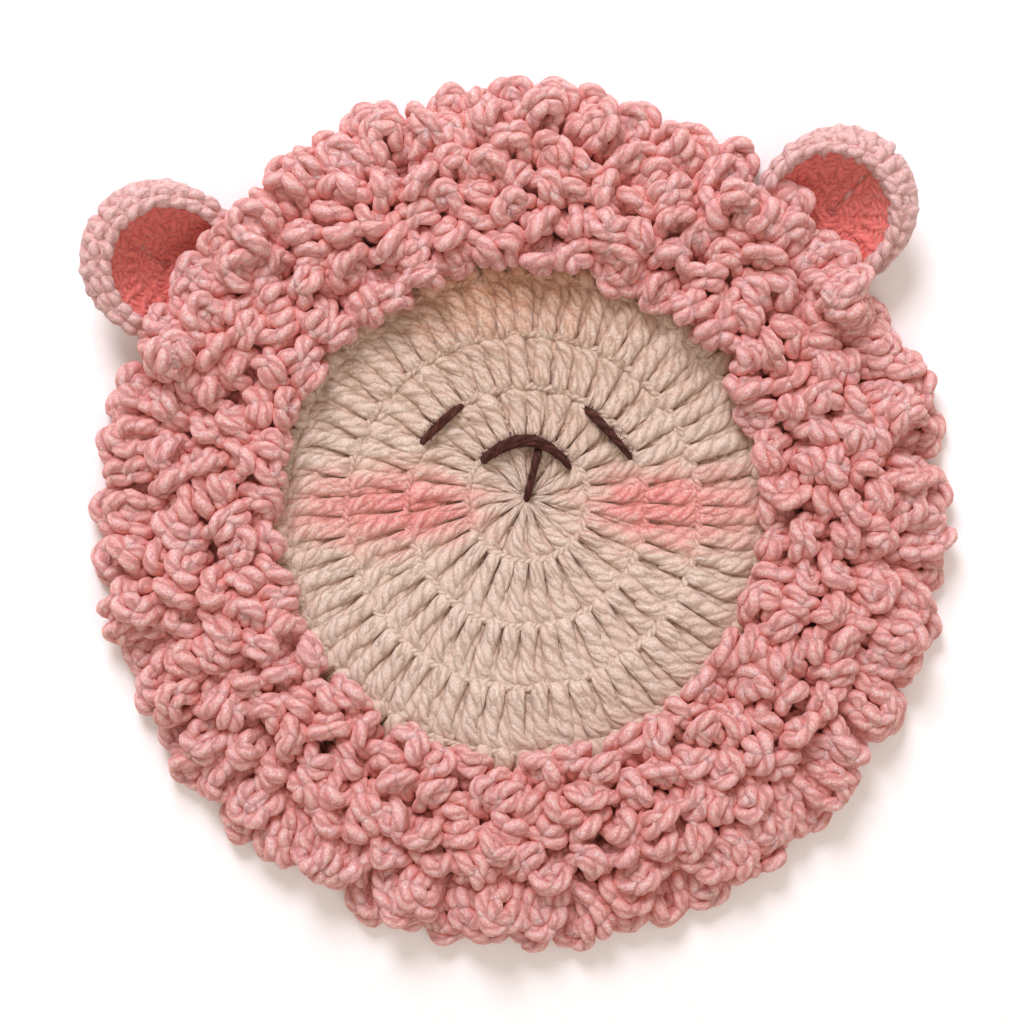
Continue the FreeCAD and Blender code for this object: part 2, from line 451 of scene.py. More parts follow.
# ---- double crochet rounds

YARN = 1.9  # half the width of a plump stitch
SQUASH = 0.72  # its height as a share of its width
STITCH_WIDTH = 2.3  # width of a full-sized stitch, in radii of its yarn
MIDDLE = FABRIC / 2
RISE = 0.9  # how far the front strands stand above the middle of the fabric

# One double crochet seen from its front: place along the stitch from the centre out, place
# across it in stitch widths, height in rises, and fullness. The post bulges in two lobes
# where it hooks over the round before, a slanting strand crosses its outer end, and a
# deeper strand fills the gap beside it.
POST = [(-0.05, 0.0, -1.0, 0.75), (0.02, 0.0, 0.50, 0.98), (0.12, 0.0, 1.00, 1.04),
        (0.34, 0.0, 0.70, 0.90), (0.58, 0.0, 0.50, 0.85), (0.80, 0.0, 0.35, 0.94),
        (0.93, 0.02, -0.10, 0.92), (1.00, 0.04, -1.0, 0.70)]
LEFT_LOBE = [(-0.05, -0.19, -0.4, 0.44), (0.02, -0.20, 1.10, 0.54), (0.12, -0.20, 1.60, 0.56),
             (0.34, -0.16, 1.10, 0.48), (0.55, -0.12, 0.40, 0.40)]
RIGHT_LOBE = [(-0.05, 0.20, -0.4, 0.44), (0.02, 0.21, 1.10, 0.54), (0.12, 0.20, 1.55, 0.56),
              (0.34, 0.17, 1.05, 0.47), (0.52, 0.15, 0.40, 0.40)]
FOOT = [(0.40, -0.24, -0.2, 0.34), (0.52, -0.20, 0.75, 0.44), (0.66, -0.08, 1.20, 0.52),
        (0.80, 0.10, 1.10, 0.56), (0.92, 0.32, 0.50, 0.54), (1.00, 0.50, -0.7, 0.44)]
BETWEEN = [(0.00, 0.50, -0.9, 0.42), (0.20, 0.50, -0.55, 0.44), (0.55, 0.50, -0.35, 0.46),
           (0.74, 0.50, 0.05, 0.52), (0.88, 0.50, 0.15, 0.54), (1.00, 0.50, -0.8, 0.44)]
STITCH = [POST, LEFT_LOBE, RIGHT_LOBE, FOOT, BETWEEN]
UNEVEN = 0.045  # how uneven the hand that made the stitches is
WAVER = 0.02  # and how unsteady each strand is along the round, in stitches
LIFT = 0.15  # how much whole strands rise or sink, in rises
RIPPLE = 0.06  # and single points of a strand
LEAST_FULL, MOST_FULL = 0.35, 1.05  # limits to how thin or thick crowding makes a stitch
TABLE_CLEARANCE = 0.15  # lowest strands above the table


class FlatRound:
    """Places on one flat round of fabric, between the circles at its inner and outer edge."""

    def __init__(self, inner, outer):
        self.inner = inner
        self.outer = outer

    def place(self, u, angle, height):
        """Point u of the way from the inner edge to the outer one, at a height above the middle
        of the fabric, and the radius there."""
        centre = self.inner[0] * (1 - u) + self.outer[0] * u
        radius = self.inner[1] * (1 - u) + self.outer[1] * u
        x = centre[0] + radius * math.cos(angle)
        y = centre[1] + radius * math.sin(angle)
        return (x, y, MIDDLE + height), radius


def crochet_round(yarn, sheet, count, start, front=True, rise=RISE, radius=YARN, squash=SQUASH):
    """One round of double crochet, drawn on the front or the back of the fabric."""
    width = TURN / count
    side = 1 if front else -1
    for k in range(count):
        middle = start + (k + 0.5 + RNG.normal(0, UNEVEN)) * width
        lean, slide = RNG.normal(0, 2 * UNEVEN), RNG.normal(0, UNEVEN / 2)
        for strand in STITCH:
            plump, lift, shift = RNG.uniform(0.90, 1.06), RNG.normal(0, LIFT), RNG.normal(0, UNEVEN)
            points = []
            for u, v, w, fullness in strand:
                angle = middle + (v * side + lean * u + shift + RNG.normal(0, WAVER)) * width
                height = side * rise * (w + lift + RNG.normal(0, RIPPLE))
                (x, y, z), out = sheet.place(u + slide, angle, height)
                room = out * width / (STITCH_WIDTH * radius)
                size = fullness * plump * np.clip(room, LEAST_FULL, MOST_FULL)
                points.append((x, y, max(z, TABLE_CLEARANCE + radius * size * squash), size))
            yarn.strand(points, radius, step=0.75, squash=squash)


def circle_strand(yarn, sheet, u, height, radius, waves=0, depth=0.0):
    """Yarn that runs once round a sheet, rising and falling with the stitches it passes."""
    points = []
    corners = max(48, 4 * waves)
    for k in range(corners + 1):
        angle = TURN * k / corners
        point, _ = sheet.place(u, angle, height + depth * math.cos(waves * angle))
        points.append(point)
    yarn.strand(points, radius, step=1.2)


# Yarn that runs round inside a flat round: places across it, height and radius
CORE_PLACES = (0.04, 0.20, 0.36, 0.52, 0.68, 0.84, 0.97)
CORE_HEIGHT = -0.70
CORE_RADIUS = 1.0

# Yarn that shows along its outer edge: height, how much it waves with the stitches, radius
EDGE_HEIGHT = 0.75
EDGE_WAVE = 0.18
EDGE_RADIUS = 0.80
FLAT_TWIST = 0.40  # turns of the plies for each diameter of length


def build_flat_rounds(counts, circles, inner, node_name, finish):
    """Rounds of double crochet on both sides of the fabric, over yarn that fills its middle."""
    for k, (count, outer) in enumerate(zip(counts, circles), start=1):
        yarn = YarnMesh(twist=FLAT_TWIST)
        sheet = FlatRound(inner, outer)
        start = RNG.uniform(0, 1)
        crochet_round(yarn, sheet, count, start)
        crochet_round(yarn, sheet, count, start + 0.5, front=False)
        for u in CORE_PLACES:
            circle_strand(yarn, sheet, u, CORE_HEIGHT, CORE_RADIUS)
        circle_strand(yarn, sheet, 1.0, EDGE_HEIGHT, EDGE_RADIUS, waves=count, depth=EDGE_WAVE)
        node = node_name % k
        yarn.build(node + "_stitches", finish, node)
        inner = outer


FACE_COUNTS = [14, 28, 42, 56, 66]
BASE_COUNTS = [82, 92]
CLOSED_RING = 0.9  # radius of the hole that the first stitches close in on
RING_TURNS = ((-0.9, 1.5), (0.0, 1.2), (0.55, 1.0))  # height and radius of the ring's turns
RING_YARN = 0.75

build_flat_rounds(FACE_COUNTS, FACE_CIRCLES, (RING_CENTRE, CLOSED_RING), "face_round_%d", cream_yarn)
build_flat_rounds(BASE_COUNTS, BASE_CIRCLES, FACE_CIRCLES[-1], "mane_base_round_%d", pink_yarn)


def build_magic_ring():
    """The ring that the first round is worked into, drawn shut under its stitches."""
    yarn = YarnMesh()
    for height, radius in RING_TURNS:
        circle = (RING_CENTRE, radius)
        circle_strand(yarn, FlatRound(circle, circle), 0.0, height, RING_YARN)
    x, y = RING_CENTRE
    yarn.strand([(x, y, 0.9), (x + 0.2, y, 1.8), (x, y + 0.1, 2.6)], 0.9, step=0.4)
    yarn.build("magic_ring_yarn", cream_yarn, "magic_ring")


build_magic_ring()


# ---- embroidered eyes and nose

THREAD_TOP = FABRIC + 0.75  # height of a thread's middle where it lies on the stitches
THREAD_LOW = FABRIC - 1.2  # where its ends go down into the fabric
FIBRE_RADIUS = 0.06
THREAD_STEP = 0.35  # between the sections of a thread
HAIR_STEP = 0.5  # between the places where a stray fibre may start
RUN_ON = 0.7  # how far a straight stitch runs on past the ends that the CAD gives


def stray_fibres(yarn, path, count, reach):
    """Fine hairs that stand off a thread."""
    for _ in range(count):
        root = path[RNG.integers(0, len(path))]
        away = RNG.normal(0, 1, 3)
        away[2] = abs(away[2])
        away /= np.linalg.norm(away)
        bend = RNG.normal(0, 0.6, 3)
        length = reach * RNG.uniform(0.4, 1.0)
        points = [root + away * length * t + bend * length * t * t * 0.5 for t in (0.2, 0.5, 0.8, 1.1)]
        yarn.strand(points, FIBRE_RADIUS, step=0.3, shade=1.0)


def laid_thread(ends, sizes, bow):
    """Points of a stitch that comes up at one end, lies on the face and goes down at the other.
    bow is how far it bends, as a share of its length."""
    a, b = ends
    onward = (b - a) / np.linalg.norm(b - a) * RUN_ON
    a, b = a - onward, b + onward
    away = np.array([a[1] - b[1], b[0] - a[0]])
    points = []
    for t, size in zip(np.linspace(0, 1, len(sizes)), sizes):
        x, y = a + (b - a) * t + away * bow * math.sin(math.pi * t)
        z = THREAD_LOW if t in (0.0, 1.0) else THREAD_TOP
        points.append((x, y, z, size))
    return points


EYE_BOW = 0.02
STEM_YARN = 0.85  # radius of the nose stem's thread
LEFT_FOOT_RISE = 1.3  # the arch's left foot is higher on the face than its right one
ARCH_THREADS = ((0.35, 0.82), (-0.55, 0.72))  # how far up each is set, and its fullness
ARCH_PLACES = (0.06, 0.22, 0.4, 0.6, 0.8, 0.95)  # places along the arch from left to right


def build_stitch(name, rising, sizes, radius, bow, count, reach):
    """A straight stitch, with a count of stray fibres."""
    node = name + "_stitch"
    points = laid_thread(ends_of(node, rising), sizes, bow)
    yarn = YarnMesh()
    yarn.strand(points, radius, step=THREAD_STEP)
    stray_fibres(yarn, smooth_path(points, HAIR_STEP)[3:-3, :3], count, reach)
    yarn.build(name + "_thread", brown_thread, node)


def build_eye(side, rising, sizes):
    low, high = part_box(side + "_eye_stitch")
    build_stitch(side + "_eye", rising, sizes, (high.z - low.z) / 2 / MM, EYE_BOW, count=60, reach=1.8)


def build_nose_arch():
    """Two threads side by side, pulled up into an arch."""
    low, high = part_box("nose_arch_stitch")
    radius = (high.z - low.z) / 2 / MM
    left, right = low.x / MM + radius, high.x / MM - radius
    foot_right = low.y / MM + radius
    foot_left = foot_right + LEFT_FOOT_RISE
    crown = high.y / MM - radius
    yarn = YarnMesh()
    whole = []
    for offset, thick in ARCH_THREADS:
        points = [(left, foot_left, THREAD_LOW, 0.7)]
        for t in ARCH_PLACES:
            x = left + (right - left) * t
            foot = foot_left + (foot_right - foot_left) * t
            y = foot + (crown - foot) * math.sin(math.pi * t) ** 0.85 + offset * math.sin(math.pi * t)
            points.append((x, y, THREAD_TOP + 0.25 * math.sin(math.pi * t), thick * (1.08 - 0.3 * t)))
        points.append((right, foot_right, THREAD_LOW, 0.45))
        yarn.strand(points, radius, step=THREAD_STEP)
        whole.append(smooth_path(points, HAIR_STEP)[3:-3, :3])
    stray_fibres(yarn, np.vstack(whole), count=130, reach=2.0)
    yarn.build("nose_arch_threads", brown_thread, "nose_arch_stitch")


build_eye("left", True, (0.5, 0.80, 0.95, 0.95, 0.85, 0.6))
build_eye("right", False, (0.7, 0.95, 0.95, 0.85, 0.65, 0.4))
build_nose_arch()
build_stitch("nose_stem", True, (0.7, 0.85, 0.85, 0.85, 1.0, 0.9), STEM_YARN, 0.0, count=40, reach=1.5)


# ---- ears

# The bowl of an ear, about an axis that leans towards the face
EAR_REACH = 11.3  # seam line to the bowl's axis
EAR_LEAN = math.radians(25)
EAR_HEIGHT = 9.5  # height of the rim plane's centre above the table
EAR_RADIUS = 15.0  # outer radius of the rim
HOLLOW_RADIUS = 14.6  # the bowl's hollow is part of a sphere
HOLLOW_HEIGHT = 10.1  # that sphere's centre, up the bowl's axis
HOLLOW_SHIFT = -3.0  # and towards the seam, so the rim is widest on the far side
EAR_FABRIC = 2.8  # thickness of the bowl's fabric
MOUTH_ANGLE = 0.87  # from straight down the bowl to its edge, seen from the sphere's centre
EAR_YARN = 1.10  # radius of a strand inside the bowl
RIM_YARN = 1.62  # radius of a strand of the rim
SEAM_SIDE = 1.0  # nearest that an ear's yarn comes to the seam line
TABLE = 2.0  # lowest height of a strand's middle


class Ear:
    """One ear: its fold line from the frame, and places on its bowl."""

    def __init__(self, joint):
        self.body = joint["child"]
        self.seam = np.array(joint["pos_m"]) / MM
        axis = np.array(joint["axis"], float)
        self.outward = np.array([-axis[1], axis[0], 0.0])
        self.along = np.array([-self.outward[1], self.outward[0], 0.0])

    def world(self, x, y, z):
        """From the ear's own frame, x outward from the seam, to the mat's."""
        flat = self.seam * (1, 1, 0)
        return flat + self.outward * x + self.along * y + np.array([0, 0, z])

    def local(self, points):
        """Distance outward from the seam and distance along it."""
        gap = points - self.seam
        return gap @ self.outward, gap @ self.along

    def bowl(self, x, y, height, layer=0.0):
        """From the leaning bowl's frame to the mat's, kept off the seam and the table. layer is
        how much further off both it is kept, so that the inside never shows from outside."""
        c, s = math.cos(EAR_LEAN), math.sin(EAR_LEAN)
        out = max(EAR_REACH + x * c - height * s, SEAM_SIDE + layer)
        up = max(EAR_HEIGHT + x * s + height * c, TABLE + layer)
        return self.world(out, y, up)


EARS = [Ear(joint) for joint in frame["joints"]]
OUTSIDE_DEPTH = 0.7  # how far under the middle of a bowl's fabric its outside strands lie


class BowlRound:
    """Places on one round of an ear's bowl, between two angles from the bottom of the hollow."""

    def __init__(self, ear, inner, outer):
        self.ear = ear
        self.inner = inner
        self.outer = outer

    def place(self, u, angle, height):
        steep = self.inner + (self.outer - self.inner) * u
        reach = HOLLOW_RADIUS + EAR_FABRIC / 2 - height
        out = reach * math.sin(steep)
        x = HOLLOW_SHIFT + out * math.cos(angle)
        y = out * math.sin(angle)
        layer = max(height + OUTSIDE_DEPTH, 0.0)
        return self.ear.bowl(x, y, HOLLOW_HEIGHT - reach * math.cos(steep), layer), out


def mouth_radius(angle):
    """Distance from the bowl's axis to the mouth's edge, which is round about a shifted centre."""
    mouth = HOLLOW_RADIUS * math.sin(MOUTH_ANGLE)
    return HOLLOW_SHIFT * math.cos(angle) + math.sqrt(mouth ** 2 - (HOLLOW_SHIFT * math.sin(angle)) ** 2)


# The rim's section: share of its width out from the mouth, millimetres beside that, height
RIM_PROFILE = [(0.0, 0.3, -1.6), (0.0, -0.05, 0.2), (0.0, 1.0, 1.9), (0.5, 0.0, 1.9), (0.8, 0.0, 0.7),
               (1.0, 0.0, -1.3), (1.0, -1.6, -3.6), (0.25, 0.0, -3.4)]
RIM_MIDDLE = (0.45, 0.0, -0.9)
MOST_SUNK = 0.9  # furthest that a point is drawn towards the section's middle


class Rim:
    """Places across an ear's rim, from inside the mouth over the crest to under the outer edge."""

    def __init__(self, ear):
        self.ear = ear

    def place(self, u, angle, sink):
        """u runs 0 to 1 across the rim; sink is how deep inside the rim the point lies."""
        mouth = mouth_radius(angle)
        wide = EAR_RADIUS - mouth
        profile = [(mouth + share * wide + beside, high) for share, beside, high in RIM_PROFILE]
        middle = (mouth + RIM_MIDDLE[0] * wide, RIM_MIDDLE[2])
        at = np.clip(u, 0, 1) * (len(profile) - 1)
        out = np.interp(at, range(len(profile)), [p[0] for p in profile])
        high = np.interp(at, range(len(profile)), [p[1] for p in profile])
        gap = math.hypot(out - middle[0], high - middle[1])
        pull = min(sink / max(gap, 0.1), MOST_SUNK)
        out += (middle[0] - out) * pull
        high += (middle[1] - high) * pull
        return self.ear.bowl(out * math.cos(angle), out * math.sin(angle), high), out


RIM_STITCHES = 27
RIM_LEAN = 0.3  # how far a rim stitch slants, in stitch widths

# Yarn that runs round inside the rim: place across it, how deep it lies and its radius
RIM_RINGS = ((0.15, 1.3, 0.9), (0.5, 2.0, 1.3), (0.72, 2.0, 1.5), (0.9, 1.7, 1.2))

# The chain of the rim's tops: place across the rim, how deep it lies, yarn and stitch length
RIM_CHAIN = 0.36
CHAIN_SINK = 1.15
CHAIN_YARN = 1.05
RIM_CHAIN_PITCH = 3.1

# Yarn that runs round inside the bowl: places across a round, and radius
BOWL_RINGS = (0.0, 0.2, 0.4, 0.6, 0.8, 1.0)
BOWL_RING_YARN = 0.95

# The bowl's sides: name, finish, whether it is the front, the angle where its stitches start,
# and how far that yarn lies inward from the middle of the fabric. The inside's deeper pink is painted shade.
BOWL_SIDES = (("inside", pink_yarn_in_painted_shade, True, 0.1, 0.2),
              ("outside", pink_yarn, False, 0.4, -OUTSIDE_DEPTH))
BOWL_RISE = 0.5
CENTRE_STITCHES = 10
WALL_STITCHES = 19
CENTRE_ANGLE = 0.42  # where the centre round ends and the wall round begins

# One chain stitch: distance along the cord in pitches, across it and up from its middle in
# yarn radii, and the yarn's fullness. It comes up through the stitch before, spreads into
# two legs, closes behind the next stitch and runs on along the back.
CHAIN = [(0.00, -0.22, -0.35, 0.78), (0.28, -0.82, 0.35, 1.00), (0.68, -1.05, 0.50, 1.15),
         (1.05, -0.72, -0.05, 0.95), (1.22, 0.0, -0.50, 0.80), (1.05, 0.72, -0.05, 0.95),
         (0.68, 1.05, 0.50, 1.15), (0.28, 0.82, 0.35, 1.00), (0.00, 0.22, -0.35, 0.78),
         (-0.04, 0.08, -1.05, 0.85), (0.40, 0.0, -1.30, 1.00), (0.84, -0.08, -1.05, 0.85)]
ON_TABLE = 1.35  # lowest height of a chained yarn's middle, in yarn radii


def chain_cord(yarn, line, radius, pitch, roll, shade=None):
    """Works chain stitches of a yarn's radius along a centre line."""
    path = smooth_path(line, 0.4)
    side, up = carried_frames(path)
    run = run_of(path)
    count = max(3, int(round(run[-1] / pitch)))
    marks = []
    for k in range(count):
        for s, x, z, size in CHAIN:
            marks.append(((k + s) * run[-1] / count, x + RNG.normal(0, 0.09), z + RNG.normal(0, 0.09), size))
    marks = np.array(marks)
    marks[:, 0] = np.clip(marks[:, 0], 0, run[-1])
    middle, across, above = [np.column_stack([np.interp(marks[:, 0], run, track[:, a]) for a in range(3)])
                             for track in (path, side, up)]
    c, s = math.cos(roll), math.sin(roll)
    x, z = marks[:, 1:2] * radius, marks[:, 2:3] * radius
    points = middle + across * (x * c - z * s) + above * (x * s + z * c)
    points[:, 2] = np.maximum(points[:, 2], radius * ON_TABLE)
    sizes = marks[:, 3] * RNG.uniform(0.95, 1.05)
    yarn.strand(np.column_stack([points, sizes]), radius, 0.75, shade)


def build_rim(ear):
    """Plump single crochet worked over the edge, with the chain of its tops pressed into it."""
    rim = Rim(ear)
    yarn = YarnMesh(twist=0.35)
    width = TURN / RIM_STITCHES
    for k in range(RIM_STITCHES):
        middle = (k + 0.5 + RNG.normal(0, 0.06)) * width
        lean, plump = RNG.normal(RIM_LEAN, RIM_LEAN / 2), RNG.uniform(0.92, 1.08)
        points = []
        for u in np.linspace(0.10, 1.0, 10):
            swell = 0.78 + 0.27 * math.sin(math.pi * min(u, 0.8) / 0.8)
            sink = RIM_YARN * 0.9 + RNG.normal(0, 0.12)
            point, _ = rim.place(u, middle + lean * (0.6 - u) * width, sink)
            points.append((*point, swell * plump * RNG.uniform(0.93, 1.06)))
        yarn.strand(points, RIM_YARN, step=0.7)
    for u, sink, radius in RIM_RINGS:
        circle_strand(yarn, rim, u, sink, radius)
    # The rim's paler pink is painted light.
    yarn.build(ear.body + "_rim_stitches", pink_yarn_in_painted_light, ear.body + "_rim_round", ear.body)
    yarn = YarnMesh()
    line = [rim.place(RIM_CHAIN, angle, CHAIN_SINK)[0] for angle in np.linspace(0, TURN, 49)]
    chain_cord(yarn, line, CHAIN_YARN, RIM_CHAIN_PITCH, math.pi, shade=0.3)
    yarn.build(ear.body + "_rim_edge", pink_yarn_in_painted_light, ear.body + "_rim_round", ear.body)


def build_bowl(ear):
    """The centre and wall rounds: deep pink, painted shade, inside the hollow and plain pink outside."""
    rounds = [("centre", CENTRE_STITCHES, BowlRound(ear, 0.03, CENTRE_ANGLE)),
              ("wall", WALL_STITCHES, BowlRound(ear, CENTRE_ANGLE, MOUTH_ANGLE))]
    for name, count, sheet in rounds:
        node = "%s_%s_round" % (ear.body, name)
        for side, finish, front, start, inward in BOWL_SIDES:
            yarn = YarnMesh()
            crochet_round(yarn, sheet, count, start, front, BOWL_RISE, EAR_YARN, squash=1.0)
            for u in BOWL_RINGS:
                circle_strand(yarn, sheet, u, inward, BOWL_RING_YARN)
            yarn.build("%s_%s_%s" % (ear.body, name, side), finish, node, ear.body)


SEAM_HALF = 12.4  # half the length of the sewn foot of an ear
SEAM_TURNS = 9
SEAM_CORE = 0.75  # radius of the thread along the seam
SEAM_YARN = 0.62  # radius of the yarn wound round it
SEAM_COIL = (1.15, 0.95)  # how far that yarn stands off, outward and up
COIL_CORNERS = 8  # points in one turn of it


def build_seam(ear):
    """Whip stitches over the foot of the ear, wound round the thread that they draw tight."""
    yarn = YarnMesh()
    height = ear.seam[2]
    yarn.strand([ear.world(0, y, height) for y in np.linspace(-SEAM_HALF, SEAM_HALF, 9)], SEAM_CORE)
    points = []
    corners = SEAM_TURNS * COIL_CORNERS
    for k in range(corners + 1):
        turn = TURN * k / COIL_CORNERS
        y = -SEAM_HALF + 2 * SEAM_HALF * k / corners
        points.append(ear.world(SEAM_COIL[0] * math.cos(turn), y, height + SEAM_COIL[1] * math.sin(turn)))
    yarn.strand(points, SEAM_YARN, step=0.6)
    yarn.build(ear.body + "_whip_stitches", pink_yarn, ear.body + "_seam_yarn", ear.body)


for one_ear in EARS:
    build_rim(one_ear)
    build_bowl(one_ear)
    build_seam(one_ear)


# ---- the mane's chain loops

CORD_YARN = 1.34  # radius of the yarn that the loops are chained from
CHAIN_PITCH = 3.50  # length of one chain stitch
CORD_REACH = 2.5  # half the thickness of a chained cord
TOUCHING = 3.9  # how close the middles of two pressed cords come
NODES = 9  # points of a loop's centre line while it settles
CROWN_HEIGHT = 12.6  # highest that the middle of a cord stands
FURTHEST = MANE_OUTER - CORD_REACH + 1.2  # and its furthest and nearest to the centre
NEAREST = MANE_INNER - 0.6
ON_FABRIC = FABRIC + CORD_REACH - 0.6  # lowest over the fabric, pressed into it a little
OFF_FABRIC = CORD_REACH + 0.2  # and beyond its edge, above the table
FABRIC_EDGE = BASE_CIRCLES[-1][1] + 1.0
ON_BOWL = CORD_REACH - 0.3  # how far over the hollow of an ear
LEAST_BOWL = 5.4  # lowest that an ear holds up a cord, before its own thickness
SECTORS = 12  # pieces that each row is split into
MANE_TALL = 0.02  # how much the outside of the mane is stretched up and down

# Rows of loops: the CAD row they belong to, anchor radius and height, number of loops,
# length of a loop, lean outward in degrees and how much that varies
LOOP_ROWS = [
    (1, 50.2, FABRIC - 0.9, 50, 17.5, -24.0, 22.0),
    (2, 54.6, FABRIC - 0.9, 56, 17.5, -4.0, 20.0),
    (3, 59.4, FABRIC - 0.9, 60, 18.0, 10.0, 22.0),
    (4, 63.8, FABRIC - 0.9, 64, 18.0, 30.0, 20.0),
    (5, 68.2, FABRIC - 0.9, 62, 23.0, 62.0, 13.0),
    (5, 68.4, 2.5, 54, 22.5, 92.0, 10.0),
]
SPACING = 0.12  # how unevenly the loops of a row are spaced, in loops
SWAY = 22.0  # how far they lean along the row, in degrees
TWIST = 1.3  # how far they turn about their own height, in radians
ANCHOR_SPREAD = 0.5  # how unevenly the anchors lie along the mat's radius
ANCHOR_GAP = 1.3  # half the distance between a loop's two ends


def first_loops():
    """Upright loops on their anchors, before they settle: one row of points for each loop."""
    loops, rows, steps = [], [], []
    for row, radius, height, count, length, lean, spread in LOOP_ROWS:
        offset = RNG.uniform(0, 1)
        for k in range(count):
            angle = TURN * (k + offset + RNG.normal(0, SPACING)) / count
            outward = np.array([math.cos(angle), math.sin(angle), 0.0])
            along = np.array([-math.sin(angle), math.cos(angle), 0.0])
            tip = math.radians(lean + RNG.normal(0, spread))
            sway = math.radians(RNG.normal(0, SWAY))
            up = outward * math.sin(tip) + np.array([0, 0, 1.0]) * math.cos(tip)
            up = up * math.cos(sway) + along * math.sin(sway)
            turn = RNG.uniform(-TWIST, TWIST)
            wide = along * math.cos(turn) + np.cross(up, along) * math.sin(turn)
            size = length * RNG.uniform(0.88, 1.12)
            foot = outward * (radius + RNG.normal(0, ANCHOR_SPREAD)) + np.array([0, 0, height])
            t = np.linspace(0, 1, NODES)
            rise = np.sin(math.pi * t) ** 0.8 * size * 0.40
            apart = -np.cos(math.pi * t) * (1.2 + 2.2 * np.sin(math.pi * t)) * size / 20
            points = foot + rise[:, None] * up + apart[:, None] * wide
            points[0] = foot - along * ANCHOR_GAP
            points[-1] = foot + along * ANCHOR_GAP
            loops.append(points)
            rows.append(row)
            steps.append(size / (NODES - 1))
    return np.array(loops), np.array(rows), np.array(steps)


def close_pairs(flat, reach):
    """Pairs of points nearer than reach that aren't neighbours on one loop."""
    square = (flat ** 2).sum(1)
    gap = square[:, None] + square[None, :] - 2 * flat @ flat.T
    i, j = np.nonzero(gap < reach * reach)
    keep = (j > i) & ((i // NODES != j // NODES) | (j - i > 2))
    return i[keep], j[keep]


# How the loops settle, in each round of it
SETTLE_ROUNDS = 110
PUSH = 0.34  # share of an overlap that each of two loops gives way
SAG = 0.03  # how far they sink, in millimetres
SPRING = 0.012  # share of the way that they spring back to where they started
STIFF = 1.55  # least distance between a point and the next but one, in steps
EASE = 0.4  # share of the way back below the crown's height
HEM = 0.5  # share of the way back between the mane's inside and outside


def push_apart(flat, pairs):
    i, j = pairs
    line = flat[j] - flat[i]
    length = np.linalg.norm(line, axis=1) + 1e-9
    push = np.clip(TOUCHING - length, 0, None) / length * PUSH
    move = line * push[:, None]
    np.add.at(flat, i, -move)
    np.add.at(flat, j, move)


def hold_length(loops, a, b, rest, least=False):
    """Moves points a and b of every loop to their rest distance, or at least to it."""
    line = loops[:, b] - loops[:, a]
    length = np.linalg.norm(line, axis=1) + 1e-9
    change = (length - rest) / length * 0.5
    if least:
        change = np.minimum(change, 0)
    loops[:, a] += line * change[:, None]
    loops[:, b] -= line * change[:, None]


def lowest_height(points, radius):
    """How low a cord's middle may lie: on the fabric, on the table, or on an ear's bowl."""
    low = np.where(radius < FABRIC_EDGE, ON_FABRIC, OFF_FABRIC)
    for ear in EARS:
        x, y = ear.local(points)
        centre = ear.bowl(HOLLOW_SHIFT, 0, HOLLOW_HEIGHT)
        gap = np.linalg.norm(points[..., :2] - centre[:2], axis=-1)
        bowl = centre[2] - np.sqrt(np.clip(HOLLOW_RADIUS ** 2 - gap ** 2, 20.0, None))
        over = (x > -3.0) & (x < 20.0) & (np.abs(y) < EAR_RADIUS)
        low = np.where(over, np.maximum(low, np.maximum(bowl, LEAST_BOWL) + ON_BOWL), low)
    return low


def settle(loops, steps):
    """Lets the loops push each other aside, as soft cords do, above the fabric and the table."""
    anchors = loops[:, [0, -1]].copy()
    start = loops.copy()
    for turn in range(SETTLE_ROUNDS):
        loops[:, 1:-1, 2] -= SAG
        loops[:, 1:-1] += (start[:, 1:-1] - loops[:, 1:-1]) * SPRING
        if turn % 6 == 0:
            pairs = close_pairs(loops.reshape(-1, 3), TOUCHING + 1.4)
        push_apart(loops.reshape(-1, 3), pairs)
        for _ in range(3):
            for a in range(NODES - 1):
                hold_length(loops, a, a + 1, steps)
            for a in range(NODES - 2):
                hold_length(loops, a, a + 2, steps * STIFF, least=True)
            loops[:, [0, -1]] = anchors
        radius = np.hypot(loops[..., 0], loops[..., 1])
        low = lowest_height(loops, radius)
        loops[:, 1:-1, 2] = np.maximum(loops[:, 1:-1, 2], low[:, 1:-1])
        loops[..., 2] -= np.clip(loops[..., 2] - CROWN_HEIGHT, 0, None) * EASE
        pull = 1 - np.clip(radius - FURTHEST, 0, None) / radius * HEM
        pull += np.clip(NEAREST - radius, 0, None) / radius * HEM
        loops[..., :2] *= pull[..., None]
        loops[:, [0, -1]] = anchors
    return loops


BEND_START = -7.0  # outward from the seam line: where a loop counts as lying against an ear


def ear_over(points):
    """The ear that a loop lies against, if any."""
    for ear in EARS:
        x, y = ear.local(points)
        if np.max(x) > BEND_START and np.min(np.abs(y)) < EAR_RADIUS + 2.0:
            return ear
    return None


def build_mane():
    loops, rows, steps = first_loops()
    loops = settle(loops, steps)
    radius = np.hypot(loops[..., 0], loops[..., 1])
    loops[..., 1] *= 1 + MANE_TALL * (radius / MANE_OUTER) ** 2
    groups = {}
    for k, points in enumerate(loops):
        ear = ear_over(points)
        middle = points.mean(0)
        sector = int(math.atan2(middle[1], middle[0]) / TURN % 1 * SECTORS) + 1
        label = "by_" + ear.body if ear else "curls_%02d" % sector
        groups.setdefault((rows[k], label), []).append((k, ear))
    for (row, label), members in sorted(groups.items()):
        yarn = YarnMesh()
        for k, _ in members:
            chain_cord(yarn, loops[k], CORD_YARN, CHAIN_PITCH, RNG.uniform(0, TURN))
        node = "mane_loop_row_%d" % row
        ear = members[0][1]
        piece = yarn.build("%s_%s" % (node, label), pink_yarn, node, None if ear else "root")
        if ear:
            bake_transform(piece)


build_mane()


# ---- floor, light and camera

FLOOR_TONES = ((0.90, 0.90, 0.90), (0.93, 0.93, 0.93))
BEND_STEPS = 8


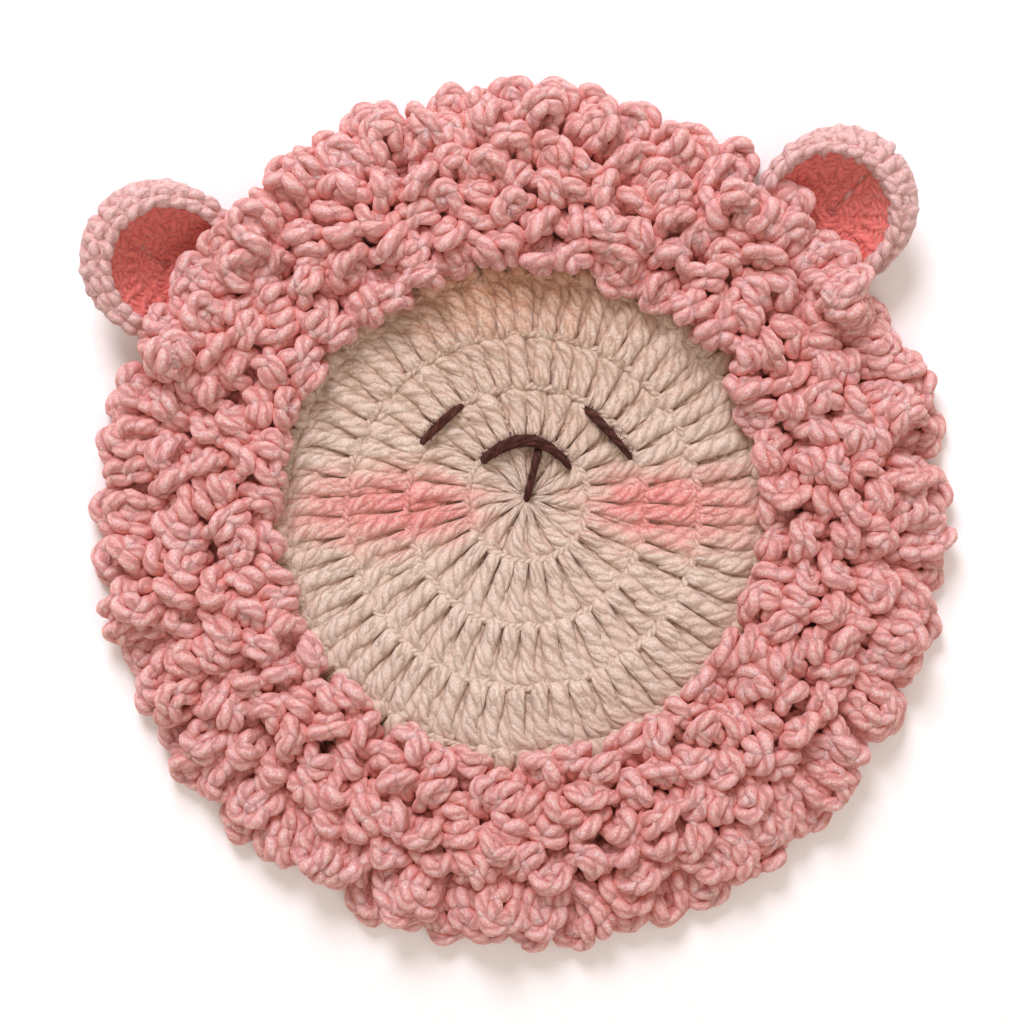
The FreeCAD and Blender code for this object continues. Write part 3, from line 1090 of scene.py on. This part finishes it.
def build_stage():
    """A pale floor that curves up behind the object."""
    span, back, bend = 1.2, 0.9, 0.3
    profile = [(-span, 0.0), (back - bend, 0.0)]
    for k in range(1, BEND_STEPS + 1):
        a = math.pi / 2 * k / BEND_STEPS
        profile.append((back - bend + bend * math.sin(a), bend - bend * math.cos(a)))
    profile.append((back, span))
    verts = []
    for x in (-span, span):
        verts += [(x, y, z) for y, z in profile]
    n = len(profile)
    faces = [(k, k + 1, n + k + 1, n + k) for k in range(n - 1)]
    mesh = bpy.data.meshes.new("floor")
    mesh.from_pydata(verts, [], faces)
    mesh.polygons.foreach_set("use_smooth", [True] * len(faces))
    nodes = Nodes("floor paper", roughness=0.8)
    grain = nodes.smooth(nodes.noise(nodes.place(), 300.0, 3.0), 0.2, 0.8)
    darker, paler = FLOOR_TONES
    nodes.link(nodes.mix(grain, rgba(darker), rgba(paler)), nodes.shader.inputs["Base Color"])
    mesh.materials.append(nodes.material)
    floor = bpy.data.objects.new("floor", mesh)
    bpy.context.scene.collection.objects.link(floor)


def aim(thing, target):
    direction = Vector(target) - thing.location
    thing.rotation_mode = "QUATERNION"
    thing.rotation_quaternion = direction.to_track_quat("-Z", "Y")


def area_light(name, location, size, power, colour):
    data = bpy.data.lights.new(name, "AREA")
    data.shape = "DISK"
    data.size = size
    data.energy = power
    data.color = colour
    lamp = bpy.data.objects.new(name, data)
    lamp.location = location
    bpy.context.scene.collection.objects.link(lamp)
    aim(lamp, (0, 0, 0))


SKY = (1.0, 0.84, 0.72, 1.0)
SKY_STRENGTH = 0.64

# Name, place in metres, size, power and colour of each lamp
LAMPS = [
    ("key light", (-0.16, 0.66, 0.66), 0.40, 7.6, (0.985, 0.94, 1.04)),
    ("fill light", (0.3, -0.5, 0.8), 0.9, 2.0, (0.95, 0.98, 1.0)),
]


def build_lights():
    world = bpy.data.worlds.new("studio")
    world.use_nodes = True
    sky = world.node_tree.nodes["Background"]
    sky.inputs["Color"].default_value = SKY
    sky.inputs["Strength"].default_value = SKY_STRENGTH
    bpy.context.scene.world = world
    for lamp in LAMPS:
        area_light(*lamp)
    bpy.context.scene.view_settings.view_transform = "Standard"


LENS = 70.0  # focal length and sensor width in millimetres
SENSOR = 36.0
FRAME_WIDTH = 0.1905  # width of the picture at the height of the mat, in metres
AIM = (-0.0017, 0.0, 0.007)  # the point in the middle of the picture
TILT = math.radians(1.0)  # how far the camera leans from straight above


def build_camera():
    data = bpy.data.cameras.new("camera")
    data.lens = LENS
    data.sensor_width = SENSOR
    camera = bpy.data.objects.new("camera", data)
    distance = FRAME_WIDTH * LENS / SENSOR
    x, y, z = AIM
    camera.location = (x, y - distance * math.sin(TILT), z + distance * math.cos(TILT))
    aim(camera, AIM)
    data.clip_start = 0.01
    data.clip_end = 10.0
    bpy.context.scene.collection.objects.link(camera)
    bpy.context.scene.camera = camera


build_stage()
build_lights()
build_camera()
